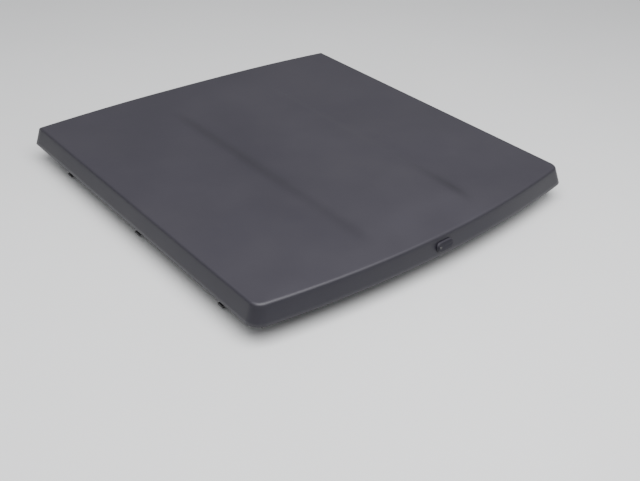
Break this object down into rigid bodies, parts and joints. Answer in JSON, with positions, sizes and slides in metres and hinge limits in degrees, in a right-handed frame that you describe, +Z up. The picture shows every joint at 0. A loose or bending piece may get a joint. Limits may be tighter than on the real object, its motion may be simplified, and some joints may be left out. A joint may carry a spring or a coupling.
{
  "type": "tonneau cover",
  "caption": "Hard painted tonneau cover for a pickup bed, hinged at the front on clamp-on rails, with gas struts, a rear lock, push bars and claws.",
  "frame": {"origin": "middle of the header rail's seat on the front wall of the bed", "axes": "+X towards the passenger side, +Y forward to the cab, +Z up"},
  "size_m": [1.73, 1.775, 0.189],
  "materials": {
    "paint": "smooth clear-coated dark charcoal paint over a moulded shell",
    "inner": "grained black moulding",
    "frame": "black powder-coated aluminium",
    "seal": "matt black rubber",
    "gasket": "closed-cell black foam",
    "zinc": "zinc-plated steel",
    "steel_black": "black coated steel",
    "cylinder": "black gas strut tube",
    "rod": "polished rod",
    "plastic": "black moulded plastic",
    "lock": "satin chrome lock parts",
    "lens": "frosted lens",
    "button": "grey push button"
  },
  "bodies": {
    "frame": {"header_rail": "frame", "side_rail_right": "frame", "side_rail_left": "frame", "header_gasket": "gasket", "side_gaskets": "gasket", "rail_end_caps": "plastic", "corner_keys": "zinc", "corner_key_screws": "zinc", "clamp_plates": "frame", "clamp_jaws": "frame", "clamp_bolts": "zinc", "clamp_washers": "zinc", "clamp_nuts": "zinc", "clamp_pads": "gasket", "hinge_brackets": "steel_black", "hinge_pins": "zinc", "rail_rivets": "zinc", "strut_rail_brackets": "steel_black", "strut_rail_studs": "zinc", "striker_brackets": "zinc", "striker_pins": "rod"},
    "lid": {"lid_skin": "paint", "inner_panel": "inner", "lock_well": "inner", "stiffening_bows": "inner", "perimeter_frame": "frame", "bulb_seal": "seal", "tailgate_seal": "seal", "hinge_leaves": "steel_black", "lid_rivets": "zinc", "strut_lid_brackets": "steel_black", "strut_lid_studs": "zinc", "latch_frames": "zinc", "latch_pivots": "zinc", "latch_spacers": "plastic", "latch_screws": "zinc", "bar_guides": "plastic", "lock_body": "paint", "lock_nut": "zinc", "lock_wedge_washer": "plastic", "cover_screw": "lock", "lamp_housing": "plastic", "lamp_lens": "lens"},
    "lock": {"key_cylinder": "lock", "lock_spindle": "zinc", "lock_crank": "zinc"},
    "keyhole_cover": {"keyhole_cover": "paint"},
    "lamp_button": {"lamp_button": "button"},
    "strut_cylinder_right": {"strut_cylinder_right": "cylinder", "strut_cylinder_socket_right": "plastic"},
    "strut_rod_right": {"strut_rod_right": "rod", "strut_rod_socket_right": "plastic"},
    "push_bar_right": {"push_bar_right": "zinc"},
    "claw_right": {"claw_right": "zinc"},
    "strut_cylinder_left": {"strut_cylinder_left": "cylinder", "strut_cylinder_socket_left": "plastic"},
    "strut_rod_left": {"strut_rod_left": "rod", "strut_rod_socket_left": "plastic"},
    "push_bar_left": {"push_bar_left": "zinc"},
    "claw_left": {"claw_left": "zinc"}
  },
  "joints": [
    {"name": "lid_hinge", "type": "hinge", "parent": "frame", "child": "lid", "pos_m": [0, 0.02, 0.031], "axis": [-1, 0, 0], "range_deg": [0, 25]},
    {"name": "lock_turn", "type": "hinge", "parent": "lid", "child": "lock", "pos_m": [0, 0, 0.046], "axis": [0, 1, 0], "range_deg": [0, 70.05]},
    {"name": "keyhole_cover_swing", "type": "hinge", "parent": "lid", "child": "keyhole_cover", "pos_m": [-0.031, -1.71892, 0.046], "axis": [0, -0.9558, 0.2941], "range_deg": [-80, 0]},
    {"name": "lamp_press", "type": "slide", "parent": "lid", "child": "lamp_button", "axis": [0, 0, 1], "range_m": [0, 0.002], "stiffness_N_per_m": 300, "springref_m": -0.003},
    {"name": "strut_pivot_right", "type": "hinge", "parent": "frame", "child": "strut_cylinder_right", "pos_m": [0.752, -0.07, -0.06], "axis": [-1, 0, 0], "range_deg": [0, 27.1]},
    {"name": "strut_slide_right", "type": "slide", "parent": "strut_cylinder_right", "child": "strut_rod_right", "axis": [0, -0.9766, 0.2152], "range_m": [0, 0.05249]},
    {"name": "push_bar_slide_right", "type": "slide", "parent": "lid", "child": "push_bar_right", "axis": [1, 0, 0], "range_m": [0, 0.01835]},
    {"name": "claw_turn_right", "type": "hinge", "parent": "lid", "child": "claw_right", "pos_m": [0.762, -1.56, 0.02291], "axis": [0, 1, 0], "range_deg": [0, 45.05]},
    {"name": "strut_pivot_left", "type": "hinge", "parent": "frame", "child": "strut_cylinder_left", "pos_m": [-0.752, -0.07, -0.06], "axis": [-1, 0, 0], "range_deg": [0, 27.1]},
    {"name": "strut_slide_left", "type": "slide", "parent": "strut_cylinder_left", "child": "strut_rod_left", "axis": [0, -0.9766, 0.2152], "range_m": [0, 0.05249]},
    {"name": "push_bar_slide_left", "type": "slide", "parent": "lid", "child": "push_bar_left", "axis": [-1, 0, 0], "range_m": [0, 0.01837]},
    {"name": "claw_turn_left", "type": "hinge", "parent": "lid", "child": "claw_left", "pos_m": [-0.762, -1.56, 0.02291], "axis": [0, -1, 0], "range_deg": [0, 45.05]}
  ],
  "couplings": [
    {"joint": "strut_pivot_right", "follows": "lid_hinge", "ratio": 1.0834},
    {"joint": "strut_slide_right", "follows": "lid_hinge", "m_per_rad": 0.12026},
    {"joint": "claw_turn_right", "follows": "push_bar_slide_right", "rad_per_m": 42.791},
    {"joint": "strut_pivot_left", "follows": "lid_hinge", "ratio": 1.0834},
    {"joint": "strut_slide_left", "follows": "lid_hinge", "m_per_rad": 0.12026},
    {"joint": "claw_turn_left", "follows": "push_bar_slide_right", "rad_per_m": 42.791},
    {"joint": "lock_turn", "follows": "push_bar_slide_right", "rad_per_m": 66.563},
    {"joint": "push_bar_slide_left", "follows": "push_bar_slide_right", "ratio": 1}
  ]
}
